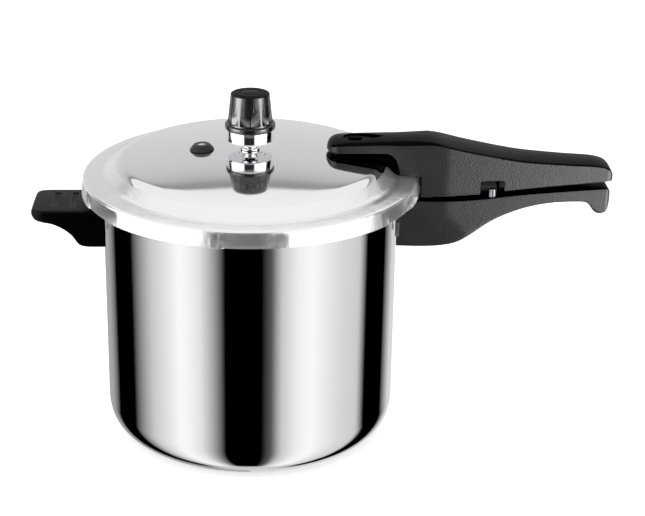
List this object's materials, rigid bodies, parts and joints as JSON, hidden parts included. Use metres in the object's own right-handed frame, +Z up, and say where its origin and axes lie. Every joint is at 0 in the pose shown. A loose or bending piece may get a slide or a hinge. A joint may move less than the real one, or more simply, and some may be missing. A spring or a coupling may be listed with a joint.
{
  "type": "pressure canner",
  "caption": "Tall pressure canner with a twist-on bayonet lid, long two-part side handle, helper grip, weighted regulator, safety plug and float lock.",
  "frame": {"origin": "on the floor under the centre of the pot's base", "axes": "+X along the long handles away from the pot, +Z up, -Y the side that faces the viewer with the long handle to the right"},
  "size_m": [0.4385, 0.2558, 0.2684],
  "materials": {
    "polished_aluminium": "mirror polished",
    "chrome": "mirror plated",
    "zinc_steel": "satin zinc plate",
    "black_bakelite": "satin moulded, fine grain on the sides",
    "satin_bakelite": "matt moulded",
    "black_rubber": "matt",
    "grey_rubber": "matt silicone"
  },
  "bodies": {
    "pot": {"pot_shell": "polished_aluminium", "pot_handle": "black_bakelite", "pot_handle_bracket": "zinc_steel", "pot_handle_screw": "zinc_steel", "pot_handle_rivet_1": "polished_aluminium", "pot_handle_rivet_2": "polished_aluminium", "lock_pin": "chrome", "helper_handle": "black_bakelite", "helper_bracket": "zinc_steel", "helper_screw": "zinc_steel", "helper_rivet_1": "polished_aluminium", "helper_rivet_2": "polished_aluminium"},
    "lid": {"lid_shell": "polished_aluminium", "lid_gasket": "grey_rubber", "vent_pipe": "chrome", "vent_washer": "grey_rubber", "vent_nut": "chrome", "vent_strainer": "chrome", "fuse_plug": "black_rubber", "fuse_core": "chrome", "float_seat": "chrome", "float_seat_nut": "chrome", "lid_handle": "black_bakelite", "lid_handle_base": "satin_bakelite", "lid_strap": "zinc_steel", "lid_strap_rivet_1": "polished_aluminium", "lid_strap_rivet_2": "polished_aluminium", "lid_handle_screw": "zinc_steel", "lock_spring": "zinc_steel"},
    "regulator": {"regulator_weight": "chrome", "regulator_cap": "black_bakelite", "regulator_cap_cover": "satin_bakelite", "regulator_nut": "zinc_steel"},
    "float": {"float_pin": "chrome", "float_seal": "grey_rubber"},
    "slide": {"lock_slide": "zinc_steel"}
  },
  "joints": [
    {"name": "lid_turn", "type": "hinge", "parent": "pot", "child": "lid", "pos_m": [0, 0, 0.2], "axis": [0, 0, 1], "range_deg": [0, 30]},
    {"name": "weight_lift", "type": "slide", "parent": "lid", "child": "regulator", "axis": [0, 0, 1], "range_m": [0, 0.035]},
    {"name": "float_rise", "type": "slide", "parent": "lid", "child": "float", "axis": [0, 0, 1], "range_m": [0, 0.0045]},
    {"name": "lock_slide_travel", "type": "slide", "parent": "lid", "child": "slide", "axis": [-1, 0, 0], "range_m": [0, 0.006]}
  ],
  "couplings": [
    {"joint": "lock_slide_travel", "follows": "lid_turn", "m_per_rad": 0.0114}
  ]
}
